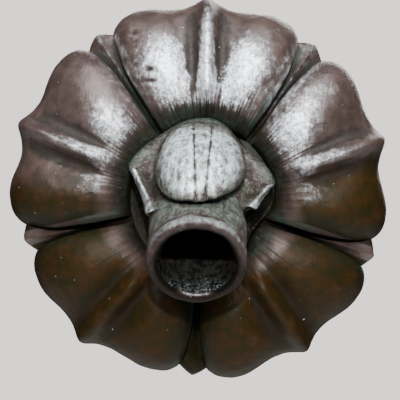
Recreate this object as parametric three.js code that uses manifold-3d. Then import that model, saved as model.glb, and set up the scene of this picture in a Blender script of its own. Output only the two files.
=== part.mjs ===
// A cast bronze water spout for a wall: a rosette of five two-lobed petals with five sepals between them,
// and from its middle, under a collar and a domed hood, a short pipe that droops forward.
// Millimetres, +Z up. The flat back lies on the wall at y = 0, and the spout points to -Y.
// The origin is the middle of the rosette on that back face.
import * as THREE from "three";
import { mergeVertices } from "three/addons/utils/BufferGeometryUtils.js";
import Module from "manifold-3d";

// Driving sizes
const SPREAD = 182; // across the rosette, over the highest points of the lobes
const PETALS = 5;
const PETAL_HEIGHT = 27; // the petals' crest above the wall
const SEPAL_HEIGHT = 13; // the sepals' middle above the wall
const RIM_THICKNESS = 3; // the rosette's edge above the wall
const PIPE_OUTER = 44.5; // diameter of the pipe's rolled rim
const PIPE_BORE = 33;
const PIPE_REACH = 65; // the middle of the mouth in front of the wall
const PIPE_DROP = 32; // the middle of the mouth below the middle of the rosette
const PIPE_DROOP = 33; // degrees that the pipe's axis falls towards the mouth
const HOOD_WIDTH = 41;
const HOOD_LOW = -5; // height of the hood's lower edge, over the pipe
const HOOD_TOP = 32; // height of the hood's upper end
const COLLAR_R = 35; // the collar's rim around the hood
const INLET_BORE = 16; // the supply hole in the back face
const INLET_HEIGHT = 12; // its middle above the middle of the rosette
const BORE_SKIN = 8; // metal between the end of the pipe's bore and the wall

// The rosette takes its proportions as shares of its spread
const LOBE_R = SPREAD / 2;
const THROAT_R = 0.38 * LOBE_R; // where the petals start, around the collar
const THROAT_SHIFT = { x: 0.018 * LOBE_R, z: -0.044 * LOBE_R }; // the middle of that ring, off the rosette's
const THROAT_DENT = { at: 330, width: 24, share: 0.2 }; // where it draws in to the pipe, in degrees
const VALLEY_R = 0.96 * LOBE_R; // the dip of the outline between a midrib's tip and a lobe
const TIP_R = 1.012 * LOBE_R; // the blunt nose at the end of a midrib
const SEPAL_R = 0.976 * LOBE_R; // the blunt tip of a sepal
// Lobes that the casting has a little shorter: degrees around the rosette, share of their radius
const SHORT_LOBES = [
  { at: 257, width: 12, share: 0.03 },
  { at: 207, width: 11, share: 0.03 },
  { at: 5, width: 12, share: 0.015 },
];
const SEPAL_SHOULDER = 0.04 * LOBE_R; // how far its corners lie behind that tip
const THROAT_FLOOR = 0.18 * PETAL_HEIGHT; // bottom of the dark ring around the collar
const THROAT_WEB = 0.35 * PETAL_HEIGHT; // metal left standing in that dent
const HALF_PETAL = 180 / PETALS; // degrees from a midrib to the middle of a sepal

// Half a petal, from its midrib (0) to its free edge (1), and half a sepal, from there to its keel (1)
const PETAL_COLUMNS = [0, 0.05, 0.11, 0.18, 0.27, 0.38, 0.5, 0.62, 0.74, 0.85, 0.94, 1];
const SEPAL_COLUMNS = [0.05, 0.5, 1];
// From the throat (0) to the outline (1)
const ROSETTE_ROWS = [0, 0.015, 0.05, 0.1, 0.17, 0.26, 0.36, 0.47, 0.58, 0.69, 0.79, 0.88, 0.94, 0.98, 1];

// The collar's corners, across and up, and the depth there, all as shares of its radius: between an ear and a
// foot runs the turned-up lip
const LEFT_EAR = { x: -0.95, z: 0.27, depth: 0.8 };
const LEFT_FOOT = { x: -0.66, z: -0.33, depth: 1.2 };
const RIGHT_EAR = { x: 0.985, z: 0.12, depth: 0.8 };
const RIGHT_FOOT = { x: 0.73, z: -0.22, depth: 1.12 };
const COLLAR_TOP_DEPTH = 0.57 * COLLAR_R;
const COLLAR_WAIST = [0.16, 0.08]; // how far its arc draws in between top and ear, right and left
const LIP_HEIGHT = 0.12 * COLLAR_R;
const LIP_WIDTH = 0.07 * COLLAR_R;
const COLLAR_COLUMNS = 60;
const COLLAR_ROWS = [0, 0.3, 0.6, 0.8, 0.88, 0.94, 0.98, 1]; // from the middle to the outline

const HOLLOW = { across: 22.3, out: 37, up: -10, width: 6.5, depth: 22, height: 9 };

const HOOD_FRONT = PIPE_REACH + 5.5; // how far the hood's lower edge stands out from the wall
const HOOD_BACK = COLLAR_TOP_DEPTH;
const GROOVE_DEPTH = 0.03 * HOOD_WIDTH;
// Half the hood from its middle (0) to its side (1), in shares on both sides of the groove
const HOOD_STRIP = [0, 0.7, 1];
const HOOD_FLANK = [0.06, 0.2, 0.36, 0.52, 0.67, 0.8, 0.9, 0.97, 1];
const HOOD_ROWS = [0, 0.04, 0.12, 0.23, 0.36, 0.5, 0.63, 0.75, 0.85, 0.93, 0.98, 1];
const PIPE_SEGMENTS = 44;

const wasm = await Module();
wasm.setup();

const radians = THREE.MathUtils.degToRad;
const mix = THREE.MathUtils.lerp;
const ease = THREE.MathUtils.smoothstep;
const hump = (x, middle, width) => Math.exp(-(((x - middle) / width) ** 2));

// A closed geometry with shared vertices, without the empty triangles at poles and seams
function welded(geometry) {
  geometry.deleteAttribute("normal");
  geometry.deleteAttribute("uv");
  const merged = mergeVertices(geometry, 1e-4);
  const corners = merged.index.array;
  const kept = [];
  for (let i = 0; i < corners.length; i += 3) {
    const [a, b, c] = [corners[i], corners[i + 1], corners[i + 2]];
    if (a !== b && b !== c && c !== a) kept.push(a, b, c);
  }
  merged.setIndex(kept);
  return merged;
}

function solid(geometry) {
  const closed = welded(geometry);
  return new wasm.Manifold(
    new wasm.Mesh({
      numProp: 3,
      vertProperties: new Float32Array(closed.attributes.position.array),
      triVerts: new Uint32Array(closed.index.array),
    }),
  );
}

function geometryOf(made) {
  const mesh = made.getMesh();
  const geometry = new THREE.BufferGeometry();
  geometry.setAttribute("position", new THREE.BufferAttribute(mesh.vertProperties, 3));
  geometry.setIndex(new THREE.BufferAttribute(mesh.triVerts, 1));
  geometry.computeVertexNormals();
  return geometry;
}

// A closed body around the Y axis: rings of points from a front pole over the outline to a back pole.
// place(column, ring) gives the point, and every ring has one point for each column.
function ringBody(columns, rings, place) {
  const profile = Array.from({ length: rings }, (_, i) => new THREE.Vector2(i % (rings - 1) ? 1 : 0, -i));
  const geometry = new THREE.LatheGeometry(profile, columns);
  const points = geometry.attributes.position;
  for (let k = 0; k < points.count; k++) {
    const column = (columns - Math.floor(k / rings)) % columns;
    points.setXYZ(k, ...place(column, k % rings));
  }
  return solid(geometry);
}

// The petals' free edge, in degrees from the midrib, from the throat to the outline
const petalEdge = (t) => HALF_PETAL * (0.917 + 0.156 * t * (1 - t) - 0.05 * t ** 3);

// How a height swells from the throat and sinks to the outline, 1 at its highest
function swell(t, rise, fall) {
  const top = rise / (rise + fall);
  return (t ** rise * (1 - t) ** fall) / (top ** rise * (1 - top) ** fall);
}

// The petal's outline: blunt nose at the midrib, dip, then the round lobe
function petalOutline(q) {
  const [dip, crest] = [0.27, 0.58];
  const u = Math.max(0, (q - dip) / (1 - dip));
  const nose = (TIP_R - VALLEY_R) * Math.exp(-((q / 0.14) ** 1.7));
  const rise = (LOBE_R - VALLEY_R) * ease(u, 0, crest);
  const corner = 0.055 * LOBE_R * Math.max(0, (u - crest) / (1 - crest)) ** 3;
  return VALLEY_R + nose + rise - corner;
}

const sepalOutline = (s) => SEPAL_R - SEPAL_SHOULDER * (1 - s) ** 1.3;

function petalHeight(q, t, r) {
  const base = mix(THROAT_FLOOR, RIM_THICKNESS, t);
  const dome = (PETAL_HEIGHT - base) * swell(t, 0.42, 0.55);
  const valley = 0.3 * ease(t, 0.02, 0.6) * (q < 0.15 ? 1 : hump(q, 0.15, 0.22));
  const edge = 0.4 * q ** 6;
  const beside = r * Math.sin(radians(q * petalEdge(t)));
  const rib = PETAL_HEIGHT * 0.27 * ease(t, 0.02, 0.35) * (1 - 0.4 * t ** 6);
  return base + dome * (1 - valley - edge) + rib * Math.exp(-((Math.abs(beside) / (0.045 * LOBE_R)) ** 2.3));
}

function sepalHeight(s, t) {
  const base = mix(THROAT_FLOOR, RIM_THICKNESS, t);
  return base + (SEPAL_HEIGHT - base) * swell(t, 0.4, 0.22) * mix(0.58, 1, s ** 1.4);
}

// Every column of the rosette: its half petal, and its share of the petal or of the sepal
function rosetteColumns() {
  const half = [
    ...PETAL_COLUMNS.map((share) => ({ petal: true, share })),
    ...SEPAL_COLUMNS.map((share) => ({ petal: false, share })),
  ];
  const columns = [];
  for (let k = 0; k < PETALS; k++) {
    const midrib = 90 + 2 * HALF_PETAL * k;
    for (const c of half) columns.push({ ...c, midrib, side: 1 });
    for (const c of [...half].reverse().slice(1, -1)) {
      columns.push({ ...c, midrib: midrib + 2 * HALF_PETAL, side: -1 });
    }
  }
  return columns;
}

// The direction in which a column lies there, in degrees
function columnAngle({ petal, share, midrib, side }, t) {
  const edge = petalEdge(t);
  return midrib + side * (petal ? share * edge : mix(edge, HALF_PETAL, share));
}

// How much of a dent with its middle at one angle is felt at another
const near = (angle, dent) => dent.share * hump(((angle - dent.at + 540) % 360) - 180, 0, dent.width);

function rosettePoint(column, t) {
  const { petal, share } = column;
  const angle = columnAngle(column, t);
  const full = petal ? petalOutline(share) : sepalOutline(share);
  const outline = full * (1 - SHORT_LOBES.reduce((sum, lobe) => sum + near(angle, lobe), 0));
  const r = mix(THROAT_R * (1 - near(angle, THROAT_DENT)), outline, t);
  const height = petal ? petalHeight(share, t, r) : sepalHeight(share, t);
  const x = r * Math.cos(radians(angle)) + (1 - t) * THROAT_SHIFT.x;
  const z = r * Math.sin(radians(angle)) + (1 - t) * THROAT_SHIFT.z;
  return [x, -height, z];
}

// The bottom of the ring around the collar, partly filled in its dent
const throatFloor = (angle) => THROAT_FLOOR + (THROAT_WEB * near(angle, THROAT_DENT)) / THROAT_DENT.share;

function rosette() {
  const columns = rosetteColumns();
  const rings = ROSETTE_ROWS.length + 5;
  return ringBody(columns.length, rings, (c, ring) => {
    const column = columns[c];
    if (ring === 0) return [0, -THROAT_FLOOR, 0];
    if (ring === rings - 1) return [0, 0, 0];
    const row = Math.min(Math.max(ring - 3, 0), ROSETTE_ROWS.length - 1);
    const [x, y, z] = rosettePoint(column, ROSETTE_ROWS[row]);
    if (ring === rings - 2) return [x, 0, z];
    if (row > 0) return [x, y, z];
    const share = [0.6, 0.94, 1][ring - 1];
    return [share * x, -throatFloor(columnAngle(column, 0)), share * z];
  });
}

// The pipe's own frame: back along its axis from the mouth, across, and up from the axis
const droop = radians(PIPE_DROOP);
const mouth = new THREE.Vector3(0, -PIPE_REACH, -PIPE_DROP);
const pipeBack = new THREE.Vector3(0, Math.cos(droop), Math.sin(droop));
const pipeUp = new THREE.Vector3(0, -Math.sin(droop), Math.cos(droop));
const pipeR = PIPE_OUTER / 2;
const boreR = PIPE_BORE / 2;

// A lathe body on the pipe's axis, from pairs of radius and distance behind the mouth
function alongPipe(profile) {
  const outline = profile.map(([r, back]) => new THREE.Vector2(r, back));
  const frame = new THREE.Matrix4().makeBasis(new THREE.Vector3(1, 0, 0), pipeBack, pipeUp);
  frame.setPosition(mouth);
  return solid(new THREE.LatheGeometry(outline, PIPE_SEGMENTS).applyMatrix4(frame));
}

// The pipe with its rolled rim, from the mouth to just short of the wall
function pipe() {
  const wall = pipeR - boreR;
  const roll = wall / 2;
  const length = (PIPE_REACH - pipeR * Math.sin(droop) - 1) / Math.cos(droop);
  const end = length + 0.3 * pipeR;
  const steps = 8;
  const rim = [];
  for (let i = 0; i <= steps; i++) {
    const turn = (Math.PI * i) / steps;
    rim.push([boreR + roll * (1 - Math.cos(turn)), roll * (1 - Math.sin(turn))]);
  }
  const neck = pipeR - 0.15 * wall;
  return alongPipe([[0, roll], ...rim, [neck, wall], [neck, 3 * wall], [1.04 * pipeR, length], [0, end]]);
}

// The bore of the pipe, with a rounded end
function bore() {
  const depth = (PIPE_REACH - boreR * Math.sin(droop) - BORE_SKIN) / Math.cos(droop);
  return alongPipe([
    [0, -1],
    [boreR, -1],
    [boreR, depth - 0.4 * boreR],
    [0.8 * boreR, depth - 0.1 * boreR],
    [0, depth],
  ]);
}

// The supply hole, from the back face into the upper side of the bore
function inlet() {
  const reach = 0.5 * PIPE_REACH;
  const hole = new THREE.CylinderGeometry(INLET_BORE / 2, INLET_BORE / 2, reach + 1, 24);
  return solid(hole.translate(0, 0.5 - reach / 2, INLET_HEIGHT));
}

// Where a ray from the middle at this angle meets the line through two of the collar's corners
function rayToLine(angle, a, b) {
  const [cos, sin] = [Math.cos(angle), Math.sin(angle)];
  return (COLLAR_R * (a.x * b.z - a.z * b.x)) / (cos * (b.z - a.z) - sin * (b.x - a.x));
}

const turnOf = ({ x, z }) => (Math.atan2(z, x) + 2 * Math.PI) % (2 * Math.PI);

// The collar's outline, its depth there and how much of a lip it has: an arc over the top from ear to ear,
// a straight lip down to each foot, and a hidden stretch inside the pipe between the feet
function collarEdge(angle) {
  const [rightEar, leftEar, leftFoot, rightFoot] = [RIGHT_EAR, LEFT_EAR, LEFT_FOOT, RIGHT_FOOT].map(turnOf);
  const between = (from, to, share) => COLLAR_R * mix(from.depth, to.depth, share);
  const share = (from, to) => (angle - from) / (to - from);
  if (angle >= rightEar && angle <= leftEar) {
    const across = 2 * share(rightEar, leftEar) - 1;
    const waist = COLLAR_WAIST[across < 0 ? 0 : 1] * Math.sin(Math.PI * Math.abs(across)) ** 2;
    const depth = mix(COLLAR_TOP_DEPTH, COLLAR_R * LEFT_EAR.depth, across ** 2);
    return { r: COLLAR_R * (1 - waist - 0.02 * (1 - across ** 2)), depth, lip: 0.35 };
  }
  if (angle > leftEar && angle <= leftFoot) {
    const depth = between(LEFT_EAR, LEFT_FOOT, share(leftEar, leftFoot));
    return { r: rayToLine(angle, LEFT_EAR, LEFT_FOOT), depth, lip: 1 };
  }
  if (angle > leftFoot && angle < rightFoot) {
    return { r: rayToLine(angle, LEFT_FOOT, RIGHT_FOOT), depth: COLLAR_R * RIGHT_FOOT.depth, lip: 0 };
  }
  const wrapped = angle < rightEar ? angle + 2 * Math.PI : angle;
  const down = (rightEar + 2 * Math.PI - wrapped) / (rightEar + 2 * Math.PI - rightFoot);
  return { r: rayToLine(angle, RIGHT_EAR, RIGHT_FOOT), depth: between(RIGHT_EAR, RIGHT_FOOT, down), lip: 1 };
}

// The collar rises from its edge towards the hood, with a bead along that edge
function collar() {
  const rings = COLLAR_ROWS.length + 2;
  return ringBody(COLLAR_COLUMNS, rings, (column, ring) => {
    const angle = (2 * Math.PI * column) / COLLAR_COLUMNS;
    const { r: edge, depth, lip } = collarEdge(angle);
    const foot = 0.6 * THROAT_FLOOR;
    if (ring === 0) return [0, -COLLAR_R, 0];
    if (ring === rings - 1) return [0, -foot, 0];
    const row = Math.min(ring, COLLAR_ROWS.length - 1);
    const r = edge * COLLAR_ROWS[row];
    const inward = edge - r;
    const rise = Math.min(0.8 * inward, 0.3 * COLLAR_R);
    const top = depth + rise + lip * LIP_HEIGHT * hump(inward, LIP_WIDTH, LIP_WIDTH);
    return [r * Math.cos(angle), ring > row ? -foot : -top, r * Math.sin(angle)];
  });
}

// The hood's lower and upper outline at a share of the way from its middle to its left (-1) or right (1)
function hoodSpan(across) {
  const height = HOOD_TOP - HOOD_LOW;
  const side = Math.abs(across);
  const low = HOOD_LOW + height * (0.25 * side ** 5 + 0.11 * ease(across, -0.1, 0.9));
  const top = HOOD_LOW + 0.36 * height + 0.64 * height * (1 - side ** 2.9) ** 0.5;
  return [low, top];
}

function hoodDepth(side, up) {
  const along = HOOD_BACK + (HOOD_FRONT - HOOD_BACK) * (1 - up ** 1.8) ** 0.65;
  const flank = mix(0.58, 0.72, ease(up, 0, 0.5));
  return along * mix(flank, 1, (1 - side ** 2.4) ** 0.7);
}

// Half the hood's columns. The two grooves draw together towards the lower edge, and the columns follow them.
function hoodColumns() {
  const groove = (up) => mix(0.085, 0.205, up);
  const strip = HOOD_STRIP.map((share) => ({
    side: (up) => share * groove(up),
    cut: share === 1,
  }));
  const flank = HOOD_FLANK.map((share) => ({
    side: (up) => mix(groove(up), 1, share),
    cut: false,
  }));
  return [...strip, ...flank];
}

// The small hollow under the lower end of the right lip
function hollow() {
  const { across, out, up, width, depth, height } = HOLLOW;
  const ball = new THREE.SphereGeometry(1, 12, 8).scale(width / 2, depth / 2, height / 2);
  return solid(ball.translate(across, -out, up));
}

// A block whose front is bent to the hood's domed surface and whose back ends inside the collar
function hood() {
  const half = hoodColumns();
  const mirrored = [...half].reverse().map((c) => ({ ...c, sign: -1 }));
  const columns = [...mirrored, ...half.slice(1).map((c) => ({ ...c, sign: 1 }))];
  const [across, high] = [columns.length - 1, HOOD_ROWS.length - 1];
  const block = new THREE.BoxGeometry(1, 1, 1, across, high, 1);
  const points = block.attributes.position;
  for (let k = 0; k < points.count; k++) {
    const { side, cut, sign } = columns[Math.round((points.getX(k) + 0.5) * across)];
    const up = HOOD_ROWS[Math.round((points.getY(k) + 0.5) * high)];
    const share = side(up);
    const [low, top] = hoodSpan(sign * share);
    const front = hoodDepth(share, up) - (cut ? GROOVE_DEPTH : 0);
    const depth = points.getZ(k) > 0 ? Math.max(front, 0.9 * HOOD_BACK) : 0.5 * HOOD_BACK;
    points.setXYZ(k, (sign * share * HOOD_WIDTH) / 2, -depth, mix(low, top, up));
  }
  return solid(block);
}

const group = new THREE.Group();
const bronze = new THREE.MeshStandardMaterial({ color: 0x4a3830, roughness: 0.45, metalness: 0.8 });
const outside = rosette().add(collar()).add(pipe()).add(hood()).subtract(hollow());
const cast = outside.subtract(bore()).subtract(inlet());
const spout = new THREE.Mesh(geometryOf(cast), bronze);
spout.name = "water_spout";
group.add(spout);

export default group;
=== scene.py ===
"""The bronze water spout, dressed over its CAD frame: one casting, its fine surface, patina, light and camera."""

import math
from types import SimpleNamespace

import bmesh
import bpy
import numpy as np
from mathutils import Matrix, Vector


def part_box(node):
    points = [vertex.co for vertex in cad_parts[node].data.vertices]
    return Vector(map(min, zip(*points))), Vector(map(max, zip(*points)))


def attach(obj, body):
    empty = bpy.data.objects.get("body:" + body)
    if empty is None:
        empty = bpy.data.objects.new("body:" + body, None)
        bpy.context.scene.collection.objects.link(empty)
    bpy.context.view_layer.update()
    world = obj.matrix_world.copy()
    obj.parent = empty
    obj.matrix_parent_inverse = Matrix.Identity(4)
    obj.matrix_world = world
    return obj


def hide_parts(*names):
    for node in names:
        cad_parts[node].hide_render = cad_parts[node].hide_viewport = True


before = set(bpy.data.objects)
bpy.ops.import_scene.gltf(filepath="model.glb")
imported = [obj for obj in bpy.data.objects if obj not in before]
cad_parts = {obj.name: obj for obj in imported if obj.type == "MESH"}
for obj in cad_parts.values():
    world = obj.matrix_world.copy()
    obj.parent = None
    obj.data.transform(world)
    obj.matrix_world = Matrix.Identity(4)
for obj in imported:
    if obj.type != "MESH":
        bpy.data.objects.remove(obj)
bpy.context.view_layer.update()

MM = 0.001
NODE = "water_spout"
high_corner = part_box(NODE)[1]

# The rosette's proportions, in mm, as shares of the lobes' radius, which the frame's top gives
PETALS = 5
TIP_SHARE = 1.012
LOBE_R = high_corner[2] / MM / TIP_SHARE
THROAT_R = 0.38 * LOBE_R
THROAT_SHIFT = (0.018 * LOBE_R, -0.044 * LOBE_R)
THROAT_DENT = (330, 24, 0.2)  # degrees, width in degrees, share of the radius
SHORT_LOBES = ((257, 12, 0.03), (207, 11, 0.03), (5, 12, 0.015))  # the same for the lobes that stay short
OUTLINE_WOBBLE = 0.35
VALLEY_R = 0.96 * LOBE_R
TIP_R = TIP_SHARE * LOBE_R
SEPAL_R = 0.976 * LOBE_R
SEPAL_SHOULDER = 0.04 * LOBE_R
PETAL_HEIGHT = 27.0
SEPAL_HEIGHT = 13.0
RIM_THICKNESS = 3.0
THROAT_FLOOR = 0.18 * PETAL_HEIGHT
THROAT_WEB = 0.35 * PETAL_HEIGHT
HALF_PETAL = 180 / PETALS
PETAL_COLUMNS = 50  # points across half a petal, and across half a sepal
SEPAL_COLUMNS = 12
ROWS = 78  # rings from the throat to the outline
INNER_RINGS = (0.6, 0.94)  # rings inside the throat, as shares of its radius

# The pipe, in mm
PIPE_R = 22.25
BORE_R = 16.5
PIPE_REACH = 65.0
PIPE_DROP = 32.0
PIPE_DROOP = math.radians(33)  # its slope down and outwards
BORE_SKIN = 8.0  # metal between the back face and the end of the bore
INLET_R = 8.0
INLET_HEIGHT = 12.0
ROLL = (PIPE_R - BORE_R) / 2
NECK_R = PIPE_R - 0.15 * (PIPE_R - BORE_R)
NECK_TAPER = 0.02

# The collar and the hood over the pipe, in mm; the collar's corners as shares of its radius: across, up and depth
COLLAR_R = 35.0
COLLAR_TOP_DEPTH = 0.57 * COLLAR_R
COLLAR_WAIST = (0.16, 0.08)  # how far its upper arc is drawn in, right and left, as shares of its radius
LIP_HEIGHT = 0.12 * COLLAR_R
LIP_WIDTH = 0.07 * COLLAR_R
LEFT_EAR = (-0.95, 0.27, 0.8)
LEFT_FOOT = (-0.66, -0.33, 1.2)
RIGHT_EAR = (0.985, 0.12, 0.8)
RIGHT_FOOT = (0.73, -0.22, 1.12)
HOLLOW = (22.3, -37.0, -10.0, 3.25, 11.0, 4.5)  # the hollow under the right lip: middle and half sizes
HOOD_HALF = 20.5
HOOD_LOW = -5.0
HOOD_TOP = 32.0
HOOD_FRONT = PIPE_REACH + 5.5
HOOD_BACK = COLLAR_TOP_DEPTH
GROOVE_DEPTH = 1.3
GROOVE_WIDTH = 0.75
HOOD_GAP = (0.5, 1.5)  # over the pipe, at the hood's left and right
COLLAR_ROUND = 1.6
HOOD_ROUND = 1.2
HOLLOW_ROUND = 1.0
BORE_END_ROUND = 4.0
NECK_FILLET = 5.0
HOOD_FILLET = 1.0

# The bore is painted dark above a level line as the shadow of the mouth's top lip; silt lies below it.
SILT_TOP = -29.2  # how high the silt lies in the bore
SILT_TILT = -0.042  # so that the silt is level in the view

WORLD_COLOUR = (1.6, 1.47, 1.43, 1)
WORLD_LIGHT = (0.05, 0.052, 0.055, 1)
CAMERA_DISTANCE = 0.6  # m
CAMERA_LENS = 112
CAMERA_SENSOR = 36
CAMERA_ROLL = 2.4  # degrees that the object leans to the right in the view
CAMERA_OFFSET = (0.0005, -0.00445)  # m, across and up in the view

# Colours of the patina, linear
PLUM = (0.034, 0.0225, 0.0205, 1)
BROWN = (0.056, 0.036, 0.031, 1)
# The lower parts' colours: olive patina, kept darker as painted shade.
OLIVE = (0.0062, 0.0056, 0.0012, 1)
RUST = (0.0165, 0.0068, 0.0014, 1)
MOSS = (0.0035, 0.0062, 0.0036, 1)
DARK = (0.01, 0.007, 0.006, 1)
# The next colour darkens creases as painted shade with some grime, and the bore above the silt line as painted
# shadow.
SOOT_AND_SHADE = (0.006, 0.006, 0.005, 1)
# Painted shade with some mud, in the throat.
MUD_AND_SHADE = (0.008, 0.0062, 0.003, 1)
DUST = (0.15, 0.128, 0.12, 1)
# Painted shade with some grime, in the creases of the lower olive parts.
UMBER = (0.005, 0.003, 0.0012, 1)
GREEN = (0.014, 0.034, 0.026, 1)
VERDIGRIS = (0.105, 0.138, 0.118, 1)
PALE = (0.66, 0.7, 0.75, 1)
PALE_GREY = (0.33, 0.345, 0.37, 1)
SLATE = (0.085, 0.108, 0.112, 1)
PALE_GREEN = (0.4, 0.5, 0.47, 1)
SILT = (0.008, 0.0085, 0.0065, 1)
# Painted light: lighter silt deeper in the bore.
SILT_PAINTED_LIGHTER = (0.014, 0.011, 0.01, 1)
# Also painted shade: black deep in the pockets beside the pipe and on the rim's inner edge.
BLACK = (0.001, 0.001, 0.0009, 1)  # wet silt and the depth of the pockets
RIM = (0.012, 0.0065, 0.0065, 1)

# How much pale bloom and painted highlight the rosette shows at angles round it, most on the upper petals where
# the light falls, from the right: degrees and share
BLOOM_AND_HIGHLIGHT = (
    (-90, 0.05), (-40, 0.08), (-12, 0.14), (4, 0.24), (18, 0.5), (36, 0.73), (65, 1.0), (112, 0.95),
    (132, 0.62), (162, 0.53), (178, 0.25), (192, 0.16), (225, 0.08),
)

# Pits, a nick in the hood and a scratch on the rim: middle across and up, half sizes and depth, mm
PITS = (
    (-34.1, 72.6, 1.3, 1.1, 0.9), (-25.9, 55.2, 2.2, 1.8, 1.1), (-24.5, 49.8, 2.8, 1.1, 1.1),
    (9.2, 10.5, 0.8, 0.9, 0.6), (20.2, -33.8, 1.8, 0.45, 0.5),
)

VOXEL = 0.5  # mm, of the grid in which the middle is shaped
GRID_FROM = (-39, -80, -57)
GRID_TO = (39, -1.5, 39)
CENTRE_TRIANGLES = 82000
SHARP_ANGLE = math.radians(60)  # edges that bend more than this aren't smoothed over
CAST_NOISE = ((0.8, 13.0, 3), (0.25, 5.0, 4))  # height and pitch in mm, seed
LATTICE_VALUES = 8192
LATTICE_PRIMES = (7919, 104729, 1299709)
FINE_ROUNDS = 6  # of smoothing, to find what stands out from its near surroundings
WIDE_ROUNDS = 90  # and from its wider surroundings
MIDDLE_R = (33, 37)  # mm, the radii over which the middle's masks fade out
PETAL_FROM_R = (36, 42)  # mm, the radii over which the petals' masks fade in

# Scale per mm, detail and roughness of the noises in the patina
STREAKS = (0.55, 4.0, 0.62)
SCRATCHES = (0.8, 4.0, 0.6)
GRAIN = (1.1, 4.0, 0.7)
PATCHES = (0.35, 5.0, 0.65)
BLOTCH = (0.16, 4.0, 0.6)
CLOUD = (0.045, 3.0, 0.5)
DUSTING = (0.8, 4.0, 0.7)
FROST = (0.55, 5.0, 0.72)
MARBLING = (0.5, 5.0, 0.7)
TINTING = (0.24, 4.0, 0.6)
CRUMBS = (1.0, 3.0, 0.8)

# Name, place, aim, size (m), power (W) and colour
LIGHTS = (
    ("key", (-0.01, -1.1, 0.36), (0, 0, 0), 0.045, 26, (1, 0.98, 0.95)),
    ("sky", (0.03, -0.8, 0.82), (0, 0, 0.02), 1.2, 60, (0.92, 0.97, 1)),
    ("back", (0.25, 1.1, 0.5), (0, 0, 0), 1.0, 22, (1, 0.99, 0.97)),
)
FLOOR_SIDE = 5  # m
FLOOR_BACK = 0.6
FLOOR_LEVEL = -0.5
FLOOR_SHADES = ((0.7, 0.69, 0.68, 1), (0.76, 0.75, 0.74, 1))
FLOOR_GLOW = 0.75


def mix(a, b, t):
    return a + (b - a) * t


def ease(x, low, high):
    t = np.clip((x - low) / (high - low), 0, 1)
    return t * t * (3 - 2 * t)


def hump(x, middle, width):
    return np.exp(-(((x - middle) / width) ** 2))


def soft_min(a, b, k):
    """The smaller of two distances, rounded where they meet within k."""
    h = np.clip(0.5 + 0.5 * (b - a) / k, 0, 1)
    return b + (a - b) * h - k * h * (1 - h)


def soft_max(a, b, k):
    return -soft_min(-a, -b, k)


def wave(x, seed, octaves=4, start=1.0):
    """A smooth random line through x, made of sines of growing pitch."""
    rng = np.random.default_rng(seed)
    total = np.zeros_like(x, dtype=float)
    size = 0.0
    for i in range(octaves):
        pitch = start * 1.9**i * rng.uniform(0.85, 1.15)
        total += np.sin(pitch * x + rng.uniform(0, 2 * math.pi)) / 1.5**i
        size += 1 / 1.5**i
    return total / size


# The rosette


def petal_edge(t):
    """The petals' free edge, in degrees from the midrib."""
    return HALF_PETAL * (0.917 + 0.156 * t * (1 - t) - 0.05 * t**3)


def swell(t, rise, fall):
    """How a height swells from the throat and sinks to the outline, 1 at its highest."""
    top = rise / (rise + fall)
    return t**rise * np.abs(1 - t) ** fall / (top**rise * (1 - top) ** fall)


def petal_outline(q):
    dip, crest = 0.27, 0.58
    u = np.clip((q - dip) / (1 - dip), 0, 1)
    lobe = VALLEY_R + (LOBE_R - VALLEY_R) * ease(u, 0, crest)
    lobe = lobe - 0.055 * LOBE_R * np.clip((u - crest) / (1 - crest), 0, 1) ** 3
    return lobe + (TIP_R - VALLEY_R) * np.exp(-((q / 0.14) ** 1.7))


def sepal_outline(s):
    return SEPAL_R - SEPAL_SHOULDER * (1 - s) ** 1.3


def petal_height(q, t, r):
    base = mix(THROAT_FLOOR, RIM_THICKNESS, t)
    dome = (PETAL_HEIGHT - base) * swell(t, 0.42, 0.55)
    valley = 0.3 * ease(t, 0.02, 0.6) * np.where(q < 0.15, 1, hump(q, 0.15, 0.22))
    edge = 0.4 * q**6
    beside = r * np.sin(np.radians(q * petal_edge(t)))
    rib = PETAL_HEIGHT * 0.27 * ease(t, 0.02, 0.35) * (1 - 0.4 * t**6)
    return base + dome * (1 - valley - edge) + rib * np.exp(-((np.abs(beside) / (0.045 * LOBE_R)) ** 2.3))


def sepal_height(s, t):
    base = mix(THROAT_FLOOR, RIM_THICKNESS, t)
    return base + (SEPAL_HEIGHT - base) * swell(t, 0.4, 0.22) * mix(0.58, 1, s**1.4)


def near(angle, dent):
    """How much of a dent with its middle at one angle is felt at another."""
    at, width, share = dent
    return share * hump((angle - at + 540) % 360 - 180, 0, width)


def throat_floor(angle):
    """The bottom of the ring around the collar, partly filled in its dent."""
    return THROAT_FLOOR + THROAT_WEB * near(angle, THROAT_DENT) / THROAT_DENT[2]


def bloom_and_highlight_at(angle):
    return np.interp(angle, *zip(*BLOOM_AND_HIGHLIGHT), period=360)


def striations(angle, t, seed):
    """Fine ridges that run down into the throat, left by the modelling tool."""
    fine = wave(angle, seed, 3, 1.6) + 0.5 * wave(angle, seed + 7, 2, 2.9)
    return 0.45 * fine * hump(t, 0.1, 0.2)


def rosette_columns():
    """Half-petal columns from midrib to sepal keel and back, five times round."""
    petal = np.linspace(0, 1, PETAL_COLUMNS) ** 1.05
    sepal = np.linspace(0, 1, SEPAL_COLUMNS)
    sepal[0] = 0.03
    half = [(True, q) for q in petal] + [(False, s) for s in sepal]
    columns = []
    for k in range(PETALS):
        midrib = 90 + 360 / PETALS * k
        columns += [(p, share, midrib, 1) for p, share in half]
        columns += [(p, share, midrib + 360 / PETALS, -1) for p, share in half[::-1][1:-1]]
    return columns


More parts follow.
